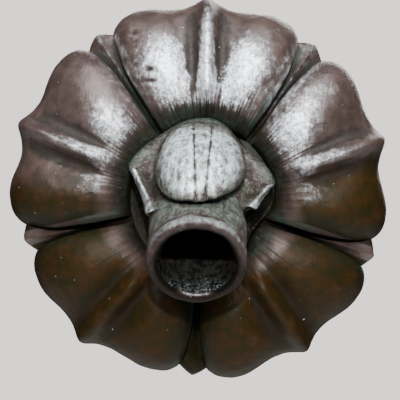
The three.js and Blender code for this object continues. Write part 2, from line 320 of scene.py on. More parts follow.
def rosette_mesh():
    """Points and faces of the closed rosette, front rings first, flat at the back."""
    columns = rosette_columns()
    is_petal, share, midrib, side = (np.array(values)[None, :] for values in zip(*columns))
    even = np.linspace(0, 1, ROWS)[:, None]
    t = mix(even, (1 - np.cos(np.pi * even)) / 2, 0.6)
    outline = np.where(is_petal, petal_outline(share), sepal_outline(share))
    outline = outline + OUTLINE_WOBBLE * wave(np.radians(midrib + side * share * 30), 3, 3, 3.0)
    edge = petal_edge(t)
    away = np.where(is_petal, share * edge, mix(edge, HALF_PETAL, share))
    angle = midrib + side * away
    outline = outline * (1 - sum(near(angle, lobe) for lobe in SHORT_LOBES))
    r = mix(THROAT_R * (1 - near(angle, THROAT_DENT)), outline, t)
    height = np.where(is_petal, petal_height(share, t, r), sepal_height(share, t))
    height = height + striations(angle, t, 11) * np.where(is_petal, 1, 0.4) * mix(0.45, 1, bloom_and_highlight_at(angle))
    height[0] = throat_floor(angle[0])
    x = r * np.cos(np.radians(angle)) + (1 - t) * THROAT_SHIFT[0]
    z = r * np.sin(np.radians(angle)) + (1 - t) * THROAT_SHIFT[1]
    count = len(columns)
    rings = [(inner * x[0], height[0], inner * z[0]) for inner in INNER_RINGS]
    rings += [(x[i], height[i], z[i]) for i in range(ROWS)]
    last = rings[-1]
    rings.append((last[0], np.zeros(count), last[2]))
    points = [(0.0, -THROAT_FLOOR, 0.0)]
    for across, h, up in rings:
        points += list(zip(across, -h, up))
    points.append((0.0, 0.0, 0.0))
    back_pole = len(points) - 1
    faces = []
    for j in range(count):
        n = (j + 1) % count
        faces.append((0, 1 + j, 1 + n))
        for i in range(len(rings) - 1):
            a, b = 1 + i * count, 1 + (i + 1) * count
            faces.append((a + j, b + j, b + n, a + n))
        a = 1 + (len(rings) - 1) * count
        faces.append((a + j, back_pole, a + n))
    return np.array(points), faces


# The middle: collar, hood and pipe, shaped as distances in a grid of points


def turn_of(corner):
    return math.atan2(corner[1], corner[0]) % (2 * math.pi)


def ray_to_line(angle, a, b):
    """Where a ray from the middle at this angle meets the line through two of the collar's corners."""
    top = COLLAR_R * (a[0] * b[1] - a[1] * b[0])
    return top / (np.cos(angle) * (b[1] - a[1]) - np.sin(angle) * (b[0] - a[0]))


def collar_edge(angle):
    """The collar's radius, its depth there and how much of a lip it has, for angles from 0 to 2 pi."""
    right_ear, left_ear, left_foot, right_foot = map(turn_of, (RIGHT_EAR, LEFT_EAR, LEFT_FOOT, RIGHT_FOOT))
    over = (angle >= right_ear) & (angle <= left_ear)
    left = (angle > left_ear) & (angle <= left_foot)
    under = (angle > left_foot) & (angle < right_foot)
    across = np.clip(2 * (angle - right_ear) / (left_ear - right_ear) - 1, -1, 1)
    waist = np.where(across < 0, *COLLAR_WAIST) * np.sin(math.pi * np.abs(across)) ** 2
    down_left = (angle - left_ear) / (left_foot - left_ear)
    wrapped = np.where(angle < right_ear, angle + 2 * math.pi, angle)
    down_right = (right_ear + 2 * math.pi - wrapped) / (right_ear + 2 * math.pi - right_foot)
    radius = np.select(
        [over, left, under],
        [COLLAR_R * (1 - waist - 0.02 * (1 - across**2)), ray_to_line(angle, LEFT_EAR, LEFT_FOOT),
         ray_to_line(angle, LEFT_FOOT, RIGHT_FOOT)],
        ray_to_line(angle, RIGHT_EAR, RIGHT_FOOT))
    depth = np.select(
        [over, left, under],
        [mix(COLLAR_TOP_DEPTH, COLLAR_R * LEFT_EAR[2], across**2),
         COLLAR_R * mix(LEFT_EAR[2], LEFT_FOOT[2], down_left),
         np.full_like(angle, COLLAR_R * RIGHT_FOOT[2])],
        COLLAR_R * mix(RIGHT_EAR[2], RIGHT_FOOT[2], down_right))
    lip = np.select([over, left, under], [0.35, 1.0, 0.0], 1.0)
    return radius, depth, lip


def collar_map(x, z):
    """How far the collar stands out from the back face at (x, z), and how far inside its outline that is."""
    angle = np.arctan2(z, x) % (2 * math.pi)
    radius, depth, lip = collar_edge(angle)
    inward = radius - np.hypot(x, z)
    rise = np.minimum(0.8 * np.maximum(inward, 0), 0.3 * COLLAR_R)
    bead = lip * LIP_HEIGHT * hump(inward, LIP_WIDTH, LIP_WIDTH)
    return depth + rise + bead, inward


def hood_span(across):
    """The hood's lower and upper outline from its left (-1) to its right (1)."""
    side = np.clip(np.abs(across), 0, 1)
    height = HOOD_TOP - HOOD_LOW
    low = HOOD_LOW + height * (0.25 * side**5 + 0.11 * ease(across, -0.1, 0.9))
    top = HOOD_LOW + 0.36 * height + 0.64 * height * (1 - side**2.9) ** 0.5
    return low, top


def hood_depth_at(side, up):
    along = mix(HOOD_BACK, HOOD_FRONT, (1 - up**1.8) ** 0.65)
    flank = mix(0.58, 0.72, ease(up, 0, 0.5))
    return along * mix(flank, 1, (1 - side**2.4) ** 0.7)


def hood_groove(x, up, width):
    """The two grooves that run up the hood's front, 1 in their middles."""
    groove_x = np.where(x < 0, mix(1.5, 4.2, up), mix(2.2, 4.7, up))
    return hump(np.abs(x), groove_x, width) * ease(up, 1.02, 0.9)


def hood_place(x, z, ragged=0.0):
    """The hood's depth before its grooves, and how far inside its outline and how far up it (x, z) is."""
    side = np.clip(np.abs(x) / HOOD_HALF, 0, 1)
    low, top = hood_span(x / HOOD_HALF)
    low = low + ragged
    up = np.clip((z - low) / (top - low), 0, 1)
    inside = np.minimum(np.minimum(z - low, top - z), HOOD_HALF - np.abs(x))
    return hood_depth_at(side, up), inside, up


def hood_map(x, z):
    """How far the hood stands out from the back face at (x, z), and how far inside its outline that is."""
    depth, inside, up = hood_place(x, z, 0.3 * wave(x * 0.9, 5, 4, 0.8))
    depth = depth - GROOVE_DEPTH * hood_groove(x, up, GROOVE_WIDTH)
    return depth + 0.12 * wave(x, 21, 5, 1.1) * ease(up, 0, 0.1), inside


def raised(stand_out, depth, inside, edge_round):
    """The distance field of a body that stands out by depth from the back face within an outline."""
    slope_x, slope_z = np.gradient(depth, VOXEL)
    steep = np.sqrt(1 + np.minimum(slope_x**2 + slope_z**2, 9))
    front = (stand_out - depth[:, None, :]) / steep[:, None, :]
    return soft_max(front, -inside[:, None, :], edge_round)


def along_pipe(y, z):
    """How far a point lies behind the mouth's plane, and how high above the pipe's axis, square to it."""
    forward, over = y + PIPE_REACH, z + PIPE_DROP
    behind = forward * math.cos(PIPE_DROOP) + over * math.sin(PIPE_DROOP)
    return behind, over * math.cos(PIPE_DROOP) - forward * math.sin(PIPE_DROOP)


def centre_field(x, y, z):
    """The distance to the surface of the middle, negative inside the metal, for three axes of a grid."""
    flat_x, flat_z = np.meshgrid(x, z, indexing="ij")
    x, y, z = x[:, None, None], y[None, :, None], z[None, None, :]
    collar = raised(-y, *collar_map(flat_x, flat_z), COLLAR_ROUND)
    hood = raised(-y, *hood_map(flat_x, flat_z), HOOD_ROUND)
    behind, up = along_pipe(y, z)
    radial = np.sqrt(x**2 + up**2)
    neck = NECK_R + NECK_TAPER * np.maximum(behind - 3 * ROLL, 0)
    tube = soft_max(radial - neck, ROLL - behind, 0.5)
    rim = np.hypot(radial - BORE_R - ROLL, behind - ROLL) - ROLL
    body = soft_min(soft_min(tube, rim, 1.0), collar, NECK_FILLET)
    slot = radial - neck - mix(*HOOD_GAP, ease(x, -6, 14)) * ease(behind, 20, 12)
    body = soft_min(body, soft_max(hood, -slot, 0.4), HOOD_FILLET)
    from_hollow = sum(((at - middle) / half) ** 2 for at, middle, half in zip((x, y, z), HOLLOW[:3], HOLLOW[3:]))
    body = soft_max(body, (1 - np.sqrt(from_hollow)) * HOLLOW[3], HOLLOW_ROUND)
    bore_end = (PIPE_REACH - BORE_R * math.sin(PIPE_DROOP) - BORE_SKIN) / math.cos(PIPE_DROOP)
    bore = soft_max(radial - BORE_R, behind - bore_end, BORE_END_ROUND)
    body = soft_max(body, -bore, 0.5)
    return np.maximum(body, 0.6 * THROAT_FLOOR + y)


def surface_of(field, origin):
    """A closed mesh of quads where the field changes sign, one point in each cell that it crosses."""
    inside = field < 0
    corners = [(i, j, k) for i in (0, 1) for j in (0, 1) for k in (0, 1)]
    shape = np.array(field.shape) - 1

    def part(values, corner):
        return values[tuple(slice(c, c + n) for c, n in zip(corner, shape))]

    count = sum(part(inside, c).astype(np.int8) for c in corners)
    cells = np.argwhere((count > 0) & (count < 8))
    number = np.full(shape, -1, dtype=np.int64)
    number[tuple(cells.T)] = np.arange(len(cells))
    total = np.zeros((len(cells), 3))
    crossings = np.zeros(len(cells))
    for a in corners:
        for axis in range(3):
            if a[axis]:
                continue
            b = tuple(1 if n == axis else a[n] for n in range(3))
            va = field[tuple((cells + a).T)]
            vb = field[tuple((cells + b).T)]
            cross = (va < 0) != (vb < 0)
            share = np.where(cross, va / np.where(cross, va - vb, 1), 0)
            point = np.array(a, dtype=float)[None, :] + np.outer(share, np.eye(3)[axis])
            total += np.where(cross[:, None], point, 0)
            crossings += cross
    points = origin + VOXEL * (cells + total / crossings[:, None])
    faces = []
    for axis in range(3):
        u, v = (axis + 1) % 3, (axis + 2) % 3
        ahead = np.eye(3, dtype=int)[axis]
        low = inside[tuple(slice(0, n - d) for n, d in zip(inside.shape, ahead))]
        high = inside[tuple(slice(d, n) for n, d in zip(inside.shape, ahead))]
        edges = np.argwhere(low != high)
        keep = (edges[:, u] > 0) & (edges[:, v] > 0)
        edges = edges[keep]
        out = low[tuple(edges.T)]
        back_u, back_v = np.eye(3, dtype=int)[u], np.eye(3, dtype=int)[v]
        ring = [edges, edges - back_u, edges - back_u - back_v, edges - back_v]
        quad = np.stack([number[tuple(p.T)] for p in ring], axis=1)
        faces.append(np.where(out[:, None], quad, quad[:, ::-1]))
    return points, np.concatenate(faces)


def centre_mesh():
    x, y, z = (np.arange(low, high, VOXEL) for low, high in zip(GRID_FROM, GRID_TO))
    return surface_of(centre_field(x, y, z), np.array(GRID_FROM))


# Blender objects


def add_object(name, data):
    obj = bpy.data.objects.new(name, data)
    bpy.context.collection.objects.link(obj)
    return obj


def mesh_object(name, points, faces):
    mesh = bpy.data.meshes.new(name)
    mesh.from_pydata((points * MM).tolist(), [], [tuple(map(int, f)) for f in faces])
    mesh.validate()
    return add_object(name, mesh)


def apply_modifiers(obj):
    depsgraph = bpy.context.evaluated_depsgraph_get()
    made = bpy.data.meshes.new_from_object(obj.evaluated_get(depsgraph))
    obj.modifiers.clear()
    old = obj.data
    obj.data = made
    bpy.data.meshes.remove(old)


def face_outwards(obj):
    bm = bmesh.new()
    bm.from_mesh(obj.data)
    bmesh.ops.recalc_face_normals(bm, faces=bm.faces)
    bm.to_mesh(obj.data)
    bm.free()


def join_or_cut(obj, other, operation):
    change = obj.modifiers.new("join", "BOOLEAN")
    change.operation = operation
    change.solver = "MANIFOLD"
    change.object = other
    apply_modifiers(obj)
    bpy.data.objects.remove(other)


def inlet_tool():
    bm = bmesh.new()
    length = 0.5 * PIPE_REACH * MM
    bmesh.ops.create_cone(bm, cap_ends=True, segments=64, radius1=INLET_R * MM, radius2=INLET_R * MM,
                          depth=length + MM)
    bmesh.ops.rotate(bm, verts=bm.verts, matrix=Matrix.Rotation(math.pi / 2, 3, "X"))
    bmesh.ops.translate(bm, verts=bm.verts, vec=(0, MM / 2 - length / 2, INLET_HEIGHT * MM))
    mesh = bpy.data.meshes.new("inlet")
    bm.to_mesh(mesh)
    bm.free()
    return add_object("inlet", mesh)


def casting():
    spout = mesh_object(NODE + "_cast", *rosette_mesh())
    face_outwards(spout)
    centre = mesh_object("centre", *centre_mesh())
    face_outwards(centre)
    thin = centre.modifiers.new("thin", "DECIMATE")
    thin.ratio = CENTRE_TRIANGLES / (2 * len(centre.data.polygons))
    apply_modifiers(centre)
    join_or_cut(spout, centre, "UNION")
    join_or_cut(spout, inlet_tool(), "DIFFERENCE")
    spout.data.shade_smooth()
    return spout


# The patina: masks worked out for every point of the surface, then mixed with noise in the material


def lattice_noise(points, pitch, seed):
    """Smooth random values from 0 to 1 with one fresh value every pitch mm."""
    table = np.random.default_rng(seed).random(LATTICE_VALUES)
    cell = np.floor(points / pitch).astype(np.int64)
    share = points / pitch - cell
    share = share * share * (3 - 2 * share)
    total = np.zeros(len(points))
    for corner in ((i, j, k) for i in (0, 1) for j in (0, 1) for k in (0, 1)):
        value = table[(((cell + corner) * LATTICE_PRIMES).sum(axis=1) + seed) % LATTICE_VALUES]
        weight = np.prod(np.where(corner, share, 1 - share), axis=1)
        total += weight * value
    return total


def neighbour_mean(values, a, b, count):
    """Each point's mean over its neighbours, for one column of values at a time."""
    columns = [np.bincount(a, values[b, i], len(values)) + np.bincount(b, values[a, i], len(values))
               for i in range(values.shape[1])]
    return np.stack(columns, axis=1) / count[:, None]


def bulge(points, normals, a, b, count, rounds):
    """How far each point stands above (or below) its surroundings after so many rounds of smoothing."""
    smooth = points
    for _ in range(rounds):
        smooth = 0.5 * smooth + 0.5 * neighbour_mean(smooth, a, b, count)
    return np.sum((points - smooth) * normals, axis=1)


def mesh_arrays(mesh):
    points = np.empty(3 * len(mesh.vertices))
    mesh.vertices.foreach_get("co", points)
    normals = np.empty(3 * len(mesh.vertices))
    mesh.vertices.foreach_get("normal", normals)
    edges = np.empty(2 * len(mesh.edges), dtype=np.int32)
    mesh.edges.foreach_get("vertices", edges)
    return points.reshape(-1, 3) / MM, normals.reshape(-1, 3), edges.reshape(-1, 2)


def weather(mesh):
    """Cast roughness, the pits, the nick and the scratch, pushed into the points themselves."""
    points, normals, _ = mesh_arrays(mesh)
    x, y, z = points.T
    front = ease(-y, 0.3, 1.5)
    rough = sum(height * (lattice_noise(points, pitch, seed) - 0.5) for height, pitch, seed in CAST_NOISE)
    middle = (1 - ease(np.hypot(x, z), *MIDDLE_R)) * ease(-y, 22, 26)
    rough += (0.18 + 0.12 * middle) * (lattice_noise(points, 1.9, 5) - 0.5)
    rough += 0.5 * middle * (lattice_noise(points * (1.6, 1, 1), 3.4, 6) - 0.5)
    for across, up, wide, high, depth in PITS:
        rough -= depth * hump(x, across, wide) * hump(z, up, high)
    points += normals * (rough * front)[:, None]
    mesh.vertices.foreach_set("co", (points * MM).ravel())
    mesh.update()


def rubbed_and_highlit_petals(r, degrees, t, q, keel):
    """How far lobes, ribs and keels are rubbed pale and painted with highlight, and how far what else stands out
    may be.
    """
    shine = bloom_and_highlight_at(degrees)
    top = ease(shine, 0.75, 1.0)
    lobes = hump(t, mix(0.32, 0.43, top), mix(0.22, 0.27, top)) * hump(q, 0.5, 0.33)
    beside_rib = r * np.radians(q * HALF_PETAL)
    ribs = np.exp(-((beside_rib / 3.8) ** 2)) * hump(t, mix(0.43, 0.5, top), mix(0.32, 0.4, top))
    inner = hump(t, 0.24, 0.12) * ease(q, 0.95, 0.6)
    flank = 0.42 * hump(q, 0.72, 0.2) * hump(t, 0.66, 0.2) * ease(shine, 0.55, 0.7) * (1 - top)
    # The second part of the next line is a painted highlight along the petals' rolled edges beside the sepals.
    keels = 0.34 * keel * ease(t, 0.1, 0.5) + 0.22 * hump(q, 0.94, 0.04)
    rubbed_and_highlit = shine * (1.05 * lobes + mix(1.0, 0.78, top) * ribs + 0.5 * inner + keels + flank)
    return np.clip(rubbed_and_highlit, 0, 1), shine * (1 - 0.8 * ribs)


def hood_mask(x, z, out):
    """Where the hood's front is rubbed pale and painted with highlight, thinned as painted shade at its lower
    left and right, and its grooves.
    """
    depth, inside, up = hood_place(x, z)
    hood = mix(0.3, 1, ease(inside, 0, 7.0)) * ease(inside, -0.5, 1.5) * ease(out - depth, -2.5, -1)
    # Painted shade at the hood's lower left and right; the pale also thins down the middle near its foot.
    hood *= 1 - 0.4 * ease(-x, 6, 17) * ease(up, 0.5, 0.05)
    hood *= 1 - 0.22 * hump(x, 0, 3.0) * ease(up, 0.1, 0.35) - 0.09 * ease(x, 4, 9)
    return hood, hood * hood_groove(x, up, 1.1 * GROOVE_WIDTH)


def lip_mask(x, z, out):
    """The two turned-up lips of the collar."""
    radius, depth, has_lip = collar_edge(np.arctan2(z, x) % (2 * math.pi))
    inward = radius - np.hypot(x, z)
    return (has_lip > 0.5) * ease(inward, -1.2, 0.4) * ease(inward, 4.6, 3.2) * ease(out - depth, -2.5, -0.5)


def rim_masks(behind, radial, rise, out):
    """The mouth's rolled rim, its painted highlights, and how far painted shade darkens and blackens it."""
    rim = ease(behind, 8, 5) * ease(out, 40, 45)
    # Painted highlights: a glint on the lower inner lip, a line along the upper outer edge and a faint one along
    # the top.
    glint = rim * ease(rise, -0.8, -0.98) * hump(radial, BORE_R + 0.8, 1.0)
    edge = ease(radial, PIPE_R - 2.6, PIPE_R - 0.4) * ease(rise, -0.4, 0.2)
    edge *= mix(0.22, 0.42, ease(rise, 0.1, 0.8))
    crest = ease(rise, 0.3, 0.9) * hump(radial, BORE_R + ROLL, 1.6)
    pale = rim * (edge + 0.04 * crest) + 0.5 * glint
    # Painted shade: the inner edge and the lower half are darkened, and the inner edge blackened, all but the
    # glint.
    unlit = rim * (1 - glint)
    dull = unlit * (0.85 * ease(radial, BORE_R + 5.0, BORE_R + 1.2) + 1.3 * ease(rise, 0.4, -0.4))
    painted_shade_black = unlit * (0.9 * ease(radial, BORE_R + 3.2, BORE_R + 0.8) + 0.3 * ease(rise, 0.3, -0.3))
    return rim, pale, dull, painted_shade_black


def paint(mesh):
    """Store the masks that the material reads, from 0 to 1 at every point."""
    points, normals, edges = mesh_arrays(mesh)
    a, b = edges.T
    count = np.maximum(np.bincount(a, minlength=len(points)) + np.bincount(b, minlength=len(points)), 1)
    fine = bulge(points, normals, a, b, count, FINE_ROUNDS)
    wide = bulge(points, normals, a, b, count, WIDE_ROUNDS)

    # Where each point is: out from the back, on the rosette (t outwards, q from midrib to sepal), on the pipe
    x, y, z = points.T
    out = -y
    front = ease(out, 0.1, 1.5)
    r = np.hypot(x, z)
    degrees = np.degrees(np.arctan2(z, x))
    t = np.clip((r - THROAT_R) / (LOBE_R - THROAT_R), 0, 1)
    q = np.abs((degrees - 90 + HALF_PETAL) % (2 * HALF_PETAL) - HALF_PETAL) / (0.92 * HALF_PETAL)
    behind, over_axis = along_pipe(y, z)
    radial = np.hypot(x, over_axis)
    rise = over_axis / np.maximum(radial, 1)

    petal = ease(r, *PETAL_FROM_R) * ease(out, 60, 40)
    keel = ease(q, 0.985, 1.03)
    middle = 1 - ease(r, *MIDDLE_R)
    pocket = (1 - ease(r, *PETAL_FROM_R)) * ease(out, 24, 9)
    hood, grooves = hood_mask(x, z, out)
    lip = lip_mask(x, z, out)
    rim, rim_highlight, rim_shade, rim_black_shade = rim_masks(behind, radial, rise, out)
    pipe_top = ease(out, 44, 54) * ease(z, -26, -14) * ease(behind, 5, 8) * (1 - hood)
    bore = ease(out, 20, 22) * (radial < BORE_R + 0.4)

    # Brown above, a darker olive below and at the right, partly patina and partly painted shade, but brown in the
    # throat, along the midribs and on the keels
    off_midrib = 1 - 0.85 * hump(q, 0, 0.32)
    upper = ease(z - 1.05 * np.maximum(x - 37, 0) * front * off_midrib, -30, 35)
    upper = np.maximum(upper, 0.75 * hump(t, 0.1, 0.2) * ease(z, -62, -24) * front)
    upper = np.maximum(upper, 0.8 * keel * ease(z, -60, -30) * front)
    moss = 0.55 * hump(q, 0.97, 0.2) + 0.4 * hump(q, 0.22, 0.1) * ease(t, 0.3, 0.6) + 0.25 * ease(t, 0.8, 1.0)

    # Painted shade with some grime: darker in creases and hollows, in the pocket by the pipe, on the rim's shaded
    # side and in the hood's grooves.
    crease_shade_and_grime = ease(-wide, 0.05, 0.9) + ease(-fine, 0.03, 0.16) * (1 - 0.6 * petal * hump(t, 0.14, 0.16))
    crease_shade_and_grime = (crease_shade_and_grime + pocket + rim_shade + 0.55 * grooves) * (1 - 0.6 * petal * keel)
    # Painted shade: black deep in the pocket beside the pipe and on the rim's inner edge.
    painted_shade_black = pocket * ease(radial, 38, 31) * mix(0.3, 1, ease(z, 0, -12)) * ease(z, 12, 2) + rim_black_shade

    # The pale is partly rubbed bloom and partly painted highlight: most on the upper petals, and on the hood, the
    # lips and what stands out.
    rubbed_and_highlit, may_rub_and_shine = rubbed_and_highlit_petals(r, degrees, t, q, keel)
    bloom_and_highlight = petal * rubbed_and_highlit + 0.78 * hood + 0.52 * lip + rim_highlight
    high = ease(fine, 0.02, 0.14) * np.maximum(may_rub_and_shine, 0.6 * middle * (1 - rim))

    green = 0.6 * hump(r, 36, 4.5) * ease(out, 40, 28) + 0.4 * middle * ease(out, 62, 40) * (1 - 0.8 * hood)
    green += petal * ease(q, 0.92, 1.0) * ease(-wide, -0.2, 0.5) * mix(0.4, 0.7, ease(z, -10, 30))
    green += 0.8 * petal * keel * ease(t, 0.75, 0.3)
    green = green * (1 - 0.5 * pocket * ease(z, 8, -2)) + 0.8 * pipe_top

    masks = {
        "upper": upper, "moss": moss, "crease_shade_and_grime": crease_shade_and_grime, "painted_shade_black": painted_shade_black, "bloom_and_highlight": bloom_and_highlight, "high": high,
        "green": green, "verdigris": pipe_top + 0.5 * middle * ease(out, 24, 30),
        "hood": np.maximum(hood, lip), "rim": rim, "bore": bore, "middle": middle,
        "lines": hump(t, 0.2, 0.13) * petal, "tint": middle + petal * keel,
        "throat": ease(t, 0.19, 0.07) * ease(out, 40, 24) * (1 - pipe_top),
    }
    for name, values in masks.items():
        layer = mesh.attributes.new(name, "FLOAT", "POINT")
        shown = np.clip(values, 0, 1) * (1 if name == "upper" else front)
        layer.data.foreach_set("value", shown.astype(np.float32))


class Patina:
    """Short names for the nodes of one material."""

    def __init__(self, name):
        self.material = bpy.data.materials.new(name)
        self.material.use_nodes = True
        self.tree = self.material.node_tree
        self.shader = self.tree.nodes["Principled BSDF"]

    def node(self, kind, **sockets):
        made = self.tree.nodes.new(kind)
        for name, value in sockets.items():
            self.feed(made.inputs[name.replace("_", " ")], value)
        return made

    def feed(self, socket, value):
        if isinstance(value, bpy.types.NodeSocket):
            self.tree.links.new(value, socket)
        else:
            socket.default_value = value

    def mask(self, name):
        made = self.tree.nodes.new("ShaderNodeAttribute")
        made.attribute_name = name
        return made.outputs["Fac"]

    def math(self, operation, a, b=0.0, clamp=False):
        made = self.tree.nodes.new("ShaderNodeMath")
        made.operation = operation
        made.use_clamp = clamp
        self.feed(made.inputs[0], a)
        self.feed(made.inputs[1], b)
        return made.outputs[0]

    def times(self, a, b):
        return self.math("MULTIPLY", a, b)

    def plus(self, a, b):
        return self.math("ADD", a, b)

    def off_middle(self, value, amount):
        """A noise's distance from its middle, so many times over."""
        return self.times(self.math("SUBTRACT", value, 0.5), amount)

    def vector(self, operation, a, b):
        made = self.tree.nodes.new("ShaderNodeVectorMath")
        made.operation = operation
        self.feed(made.inputs[0], a)
        self.feed(made.inputs[1], b)
        return made.outputs["Vector"]

    def noise(self, place, scale, detail=3.0, rough=0.55):
        made = self.node("ShaderNodeTexNoise", Vector=place, Scale=scale, Detail=detail, Roughness=rough)
        return made.outputs["Fac"]

    def step(self, value, low, high):
        made = self.tree.nodes.new("ShaderNodeMapRange")
        made.interpolation_type = "SMOOTHSTEP"
        self.feed(made.inputs["Value"], value)
        made.inputs["From Min"].default_value = low
        made.inputs["From Max"].default_value = high
        return made.outputs["Result"]

    def colour(self, share, a, b):
        made = self.tree.nodes.new("ShaderNodeMix")
        made.data_type = "RGBA"
        self.feed(made.inputs["Factor"], share)
        self.feed(made.inputs["A"], a)
        self.feed(made.inputs["B"], b)
        return made.outputs["Result"]

    def value(self, share, a, b):
        made = self.tree.nodes.new("ShaderNodeMix")
        self.feed(made.inputs["Factor"], share)
        self.feed(made.inputs["A"], a)
        self.feed(made.inputs["B"], b)
        return made.outputs["Result"]


def patina_noises(m):
    """The noises that the patina is mixed with, in mm on the casting itself."""
    place = m.vector("MULTIPLY", m.tree.nodes.new("ShaderNodeTexCoord").outputs["Object"], (1000, 1000, 1000))
    apart = m.tree.nodes.new("ShaderNodeSeparateXYZ")
    m.feed(apart.inputs[0], place)
    radial = m.vector("MULTIPLY", place, (1, 0, 1))
    length = m.tree.nodes.new("ShaderNodeVectorMath")
    length.operation = "LENGTH"
    m.feed(length.inputs[0], radial)
    round_it = m.vector("MULTIPLY", m.vector("NORMALIZE", radial, (0, 0, 0)), (42, 42, 42))
    outwards = m.node("ShaderNodeCombineXYZ", Y=m.times(length.outputs["Value"], 0.22)).outputs[0]
    wander = m.vector("MULTIPLY", m.noise(place, 0.12, 2.0), (5, 5, 5))
    spokes = m.vector("ADD", m.vector("ADD", round_it, outwards), wander)
    return SimpleNamespace(
        place=place, x=apart.outputs["X"], z=apart.outputs["Z"],
        streaks=m.noise(spokes, *STREAKS),
        scratches=m.noise(m.vector("MULTIPLY", place, (1, 0.3, 0.22)), *SCRATCHES),
        grain=m.noise(place, *GRAIN),
        patches=m.noise(place, *PATCHES),
        blotch=m.noise(place, *BLOTCH),
    )


def patina_colour(m, n):
    """Brown above and a darker olive below, partly patina and partly painted shade, with painted shade and grime
    in the creases and throat, painted black shade in the pockets, green and dust, and the masks that mix them.
    """
    brown = m.colour(m.step(n.blotch, 0.35, 0.68), PLUM, BROWN)
    olive = m.colour(m.step(n.blotch, 0.28, 0.72), OLIVE, RUST)
    mossy = m.plus(m.mask("moss"), m.off_middle(n.patches, 1.5))
    olive = m.colour(m.times(m.step(mossy, 0.1, 0.9), 0.85), olive, MOSS)
    upper = m.plus(m.mask("upper"), m.off_middle(m.noise(n.place, *CLOUD), 0.8))
    low = m.step(m.math("SUBTRACT", 1.0, upper, clamp=True), 0.1, 0.75)
    colour = m.colour(low, brown, olive)
    colour = m.colour(m.mask("rim"), colour, m.colour(m.step(n.patches, 0.3, 0.7), RIM, PLUM))
    colour = m.colour(m.times(m.step(n.grain, 0.5, 0.8), 0.4), colour, DARK)
    # Painted shade with some grime darkens the creases.
    crease_shade_and_grime = m.times(m.mask("crease_shade_and_grime"), m.value(m.step(n.grain, 0.3, 0.7), 0.75, 1.0))
    colour = m.colour(m.times(crease_shade_and_grime, 0.85), colour, m.colour(low, SOOT_AND_SHADE, UMBER))
    # Painted shade with some mud darkens the throat.
    throat = m.times(m.mask("throat"), m.value(m.step(n.patches, 0.35, 0.65), 0.7, 0.95))
    colour = m.colour(throat, colour, MUD_AND_SHADE)
    green = m.plus(m.mask("green"), m.off_middle(n.blotch, 2.2))
    green = m.times(m.step(green, 0.2, 1.1), m.value(m.step(n.grain, 0.3, 0.65), 0.35, 0.8))
    pale_green = m.times(m.step(n.patches, 0.39, 0.61), m.mask("verdigris"))
    verdigris = m.colour(pale_green, GREEN, VERDIGRIS)
    colour = m.colour(m.times(green, m.value(crease_shade_and_grime, 1.0, 0.45)), colour, verdigris)
    # Painted shade blackens the pockets and the rim's inner edge.
    colour = m.colour(m.times(m.mask("painted_shade_black"), 0.85), colour, BLACK)
    dust = m.times(m.step(m.noise(n.place, *DUSTING), 0.48, 0.66), m.mask("middle"))
    dust = m.times(dust, m.value(m.math("MAXIMUM", crease_shade_and_grime, m.mask("rim")), 0.5, 0.0))
    return m.colour(dust, colour, DUST), low, crease_shade_and_grime, throat, green


def wear_and_highlight_share(m, n, hood):
    """How far the patina is rubbed pale and painted with highlight."""
    mottle = m.off_middle(n.blotch, m.value(hood, 1.5, 1.6))
    mottle = m.plus(mottle, m.off_middle(n.patches, m.value(hood, 1.9, 0.9)))
    mottle = m.plus(mottle, m.off_middle(n.scratches, m.value(hood, 0.8, 1.2)))
    mottle = m.plus(mottle, m.off_middle(n.grain, 0.9))
    mottle = m.times(mottle, m.value(m.mask("rim"), 1.0, 0.5))
    wear_and_highlight = m.plus(m.mask("bloom_and_highlight"), m.times(m.mask("high"), 0.2))
    wear_and_highlight = m.times(wear_and_highlight, m.plus(mottle, 1.0))
    wear_and_highlight = m.math("SUBTRACT", wear_and_highlight, m.times(m.mask("crease_shade_and_grime"), m.value(hood, 0.5, 0.6)))
    wear_and_highlight = m.math("POWER", m.step(wear_and_highlight, 0.1, 1.05), 1.5)
    lines = m.times(m.step(n.streaks, 0.6, 0.38), m.mask("lines"))
    wear_and_highlight = m.times(wear_and_highlight, m.value(lines, 1.0, 0.42))
    wear_and_highlight = m.times(wear_and_highlight, m.value(m.step(n.grain, 0.36, 0.56), 0.7, 1.0))
    specks = m.times(m.step(m.noise(n.place, 0.9, 1.0, 0.5), 0.76, 0.8), m.step(n.patches, 0.5, 0.6))
    return m.math("MAXIMUM", wear_and_highlight, m.times(specks, 0.6))


def wear_and_highlight_colour(m, n, hood):
    """The pale of wear and painted highlight: frosty on the petals, marbled on the hood and the lips, greener in
    the middle and on the keels.
    """
    tint = m.times(m.step(m.noise(n.place, *TINTING), 0.62, 0.4), m.mask("tint"))
    frosty = m.colour(m.step(m.noise(n.place, *FROST), 0.4, 0.56), PALE_GREY, PALE)
    marbled = m.noise(m.vector("MULTIPLY", n.place, (1, 0.6, 0.6)), *MARBLING)
    pale = m.colour(hood, frosty, m.colour(m.step(marbled, 0.37, 0.56), SLATE, PALE))
    return m.colour(m.times(tint, m.value(hood, 1.0, 0.6)), pale, PALE_GREEN)


